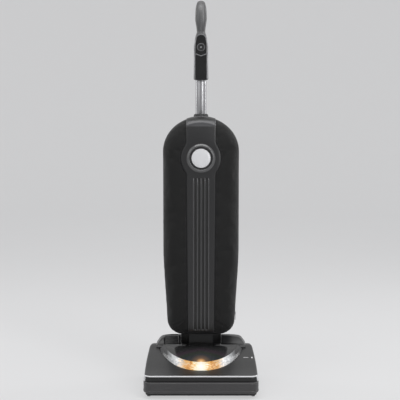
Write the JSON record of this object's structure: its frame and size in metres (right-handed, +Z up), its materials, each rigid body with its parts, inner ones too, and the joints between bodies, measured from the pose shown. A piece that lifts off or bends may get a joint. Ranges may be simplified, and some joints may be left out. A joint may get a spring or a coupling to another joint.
{
  "type": "upright vacuum cleaner",
  "caption": "Upright vacuum cleaner: wide base with crescent headlamp and brush roll, zipped bag housing with ribbed spine, and a tube handle with loop grip.",
  "frame": {"origin": "on the floor under the middle of the bounding box", "axes": "+Z up, +Y from the front bumper to the rear wheels, +X to the right seen from the front"},
  "size_m": [0.332, 0.29, 1.143],
  "materials": {
    "base_black": "fine-grained black plastic",
    "sole_metal": "brushed plate",
    "steel": "plated steel",
    "bumper_grey": "satin dark grey, soft edge",
    "silver_trim": "satin silver",
    "hood_grey": "satin dark grey",
    "gloss_black": "polished near-black",
    "clear_lens": "clear, prismatic inside",
    "bulb_glass": "warm lit glass",
    "black_plastic": "moulded black",
    "mirror_silver": "bright",
    "brush_wood": "turned beech",
    "bristle_nylon": "stiff bristle",
    "belt_rubber": "smooth",
    "motor_metal": "zinc grey",
    "wheel_rubber": "soft matte",
    "pedal_grey": "ribbed",
    "bush_metal": "turned",
    "shell_black": "grained black",
    "zip_black": "moulded teeth on tape",
    "zip_metal": "black enamel",
    "cover_fabric": "woven nylon",
    "strip_grey": "satin dark grey",
    "ring_grey": "semi-gloss dark grey",
    "silver_badge": "bare satin silver",
    "collar_card": "brown card",
    "bag_paper": "cream filter paper",
    "tube_metal": "satin bright tube",
    "grip_grey": "polished dark grey",
    "inset_black": "soft-touch black",
    "panel_black": "gloss black",
    "bezel_grey": "mid grey ring",
    "rocker_grey": "dished dark grey",
    "gland_rubber": "soft black"
  },
  "bodies": {
    "base": {"chassis": "base_black", "nose_rail": "base_black", "sole_plate": "sole_metal", "sole_screws": "steel", "bumper": "bumper_grey", "trim_strip": "silver_trim", "hood": "hood_grey", "motor_cover": "gloss_black", "lens": "clear_lens", "lamp_bulb": "bulb_glass", "lamp_holder": "black_plastic", "reflector": "mirror_silver", "brush_bearings": "black_plastic", "drive_belt": "belt_rubber", "motor_case": "motor_metal", "fan_case": "black_plastic", "intake_duct": "black_plastic", "wheel_axles": "steel", "roller_axles": "steel", "pedal_pin": "steel", "pedal_spring": "steel", "pivot_bushes": "bush_metal"},
    "upright": {"neck_duct": "base_black", "bottom_pan": "base_black", "rear_shell": "shell_black", "zip_chain": "zip_black", "fill_tube": "black_plastic", "bag_seal": "wheel_rubber", "bag_collar": "collar_card", "filter_bag": "bag_paper", "tube_socket": "base_black", "handle_tube": "tube_metal", "housing_screws": "steel", "grip_left": "grip_grey", "grip_right": "grip_grey", "grip_inset": "inset_black", "switch_panel": "panel_black", "switch_bezel": "bezel_grey", "lower_cord_hook": "black_plastic", "cord_gland": "gland_rubber"},
    "motor": {"motor_shaft": "steel", "fan_wheel": "black_plastic"},
    "brush": {"brush_core": "brush_wood", "brush_bristles": "bristle_nylon"},
    "wheel_left": {"rear_hub_left": "black_plastic", "rear_tyre_left": "wheel_rubber"},
    "wheel_right": {"rear_hub_right": "black_plastic", "rear_tyre_right": "wheel_rubber"},
    "roller_left": {"front_roller_left": "black_plastic"},
    "roller_right": {"front_roller_right": "black_plastic"},
    "pedal": {"release_pedal": "pedal_grey"},
    "cover": {"front_cover": "cover_fabric", "spine_strip": "strip_grey", "boss_ring": "ring_grey", "medallion": "silver_badge"},
    "zip": {"zip_slider": "zip_metal", "zip_pull": "zip_metal"},
    "rocker": {"switch_rocker": "rocker_grey"},
    "hook": {"upper_cord_hook": "black_plastic"}
  },
  "joints": [
    {"name": "handle_recline", "type": "hinge", "parent": "base", "child": "upright", "pos_m": [0, 0.083, 0.086], "axis": [-1, 0, 0], "range_deg": [0, 80]},
    {"name": "motor_spin", "type": "hinge", "parent": "base", "child": "motor", "pos_m": [0, 0.005, 0.058], "axis": [1, 0, 0], "continuous": true},
    {"name": "brush_spin", "type": "hinge", "parent": "base", "child": "brush", "pos_m": [0, -0.097, 0.03], "axis": [1, 0, 0], "continuous": true},
    {"name": "wheel_left_spin", "type": "hinge", "parent": "base", "child": "wheel_left", "pos_m": [-0.12, 0.114, 0.031], "axis": [1, 0, 0], "continuous": true},
    {"name": "wheel_right_spin", "type": "hinge", "parent": "base", "child": "wheel_right", "pos_m": [0.12, 0.114, 0.031], "axis": [1, 0, 0], "continuous": true},
    {"name": "roller_left_spin", "type": "hinge", "parent": "base", "child": "roller_left", "pos_m": [-0.15, -0.105, 0.012], "axis": [1, 0, 0], "continuous": true},
    {"name": "roller_right_spin", "type": "hinge", "parent": "base", "child": "roller_right", "pos_m": [0.15, -0.105, 0.012], "axis": [1, 0, 0], "continuous": true},
    {"name": "pedal_press", "type": "hinge", "parent": "base", "child": "pedal", "pos_m": [-0.0894, 0.095, 0.12], "axis": [1, 0, 0], "range_deg": [0, 10], "stiffness_Nm_per_rad": 0.5, "springref_deg": -5.73, "deforming": ["pedal_spring"]},
    {"name": "cover_open", "type": "hinge", "parent": "upright", "child": "cover", "pos_m": [0, 0.0011, 0.163], "axis": [1, 0, 0], "range_deg": [0, 60]},
    {"name": "zip_slide", "type": "slide", "parent": "upright", "child": "zip", "axis": [0.0524, 0, 0.9986], "range_m": [0, 0.19]},
    {"name": "switch_rock", "type": "hinge", "parent": "upright", "child": "rocker", "pos_m": [0, 0.0704, 1.0046], "axis": [1, 0, 0], "range_deg": [0, 12]},
    {"name": "hook_swivel", "type": "hinge", "parent": "upright", "child": "hook", "pos_m": [0, 0.13, 0.94], "axis": [0, 1, 0], "range_deg": [0, 180]}
  ],
  "couplings": [
    {"joint": "motor_spin", "follows": "brush_spin", "ratio": 2.1429}
  ]
}
